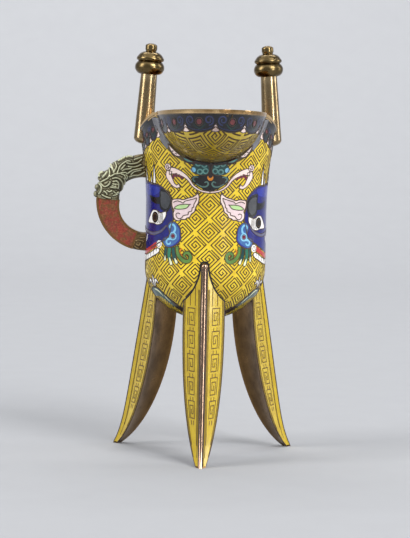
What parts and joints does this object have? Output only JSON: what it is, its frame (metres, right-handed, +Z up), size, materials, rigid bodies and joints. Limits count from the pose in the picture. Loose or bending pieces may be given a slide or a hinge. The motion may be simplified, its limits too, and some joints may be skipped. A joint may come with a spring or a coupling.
{
  "type": "jue wine vessel",
  "caption": "Tripod cup with a long scoop spout, a pointed tail, capped posts on the rim, a beast-head loop handle and sabre legs, in cloisonne enamel on gilt bronze.",
  "frame": {"origin": "on the table, under the middle of the whole vessel's box", "axes": "+Z up; the spout points to -Y, the tail to +Y and the handle to -X"},
  "size_m": [0.0894, 0.1152, 0.1741],
  "materials": {
    "copper_wall": "gilt on the inside, dulled",
    "body_enamel": "glossy cloisonne enamel, yellow ground",
    "gilt_rim": "worn gilding",
    "post_bronze": "polished, brown patina",
    "leg_bronze": "rubbed, brown patina",
    "leg_enamel": "glossy cloisonne enamel, yellow ground",
    "handle_bronze": "worn gilding",
    "handle_enamel": "mottled red enamel",
    "beast_bronze": "cast, green-brown patina in the lines"
  },
  "bodies": {
    "root": {"vessel_body": "copper_wall", "body_enamel": "body_enamel", "rim_band": "gilt_rim", "handle_loop": "handle_bronze", "handle_front_enamel": "handle_enamel", "handle_back_enamel": "handle_enamel", "handle_outer_enamel": "handle_enamel", "handle_lower_mount": "handle_bronze", "handle_beast_head": "beast_bronze", "left_post_stem": "post_bronze", "left_post_bead": "post_bronze", "left_post_cap": "post_bronze", "left_post_finial": "post_bronze", "right_post_stem": "post_bronze", "right_post_bead": "post_bronze", "right_post_cap": "post_bronze", "right_post_finial": "post_bronze", "front_leg": "leg_bronze", "front_leg_ridge": "leg_bronze", "front_leg_left_enamel": "leg_enamel", "front_leg_right_enamel": "leg_enamel", "left_leg": "leg_bronze", "left_leg_ridge": "leg_bronze", "left_leg_left_enamel": "leg_enamel", "left_leg_right_enamel": "leg_enamel", "right_leg": "leg_bronze", "right_leg_ridge": "leg_bronze", "right_leg_left_enamel": "leg_enamel", "right_leg_right_enamel": "leg_enamel"}
  },
  "joints": []
}
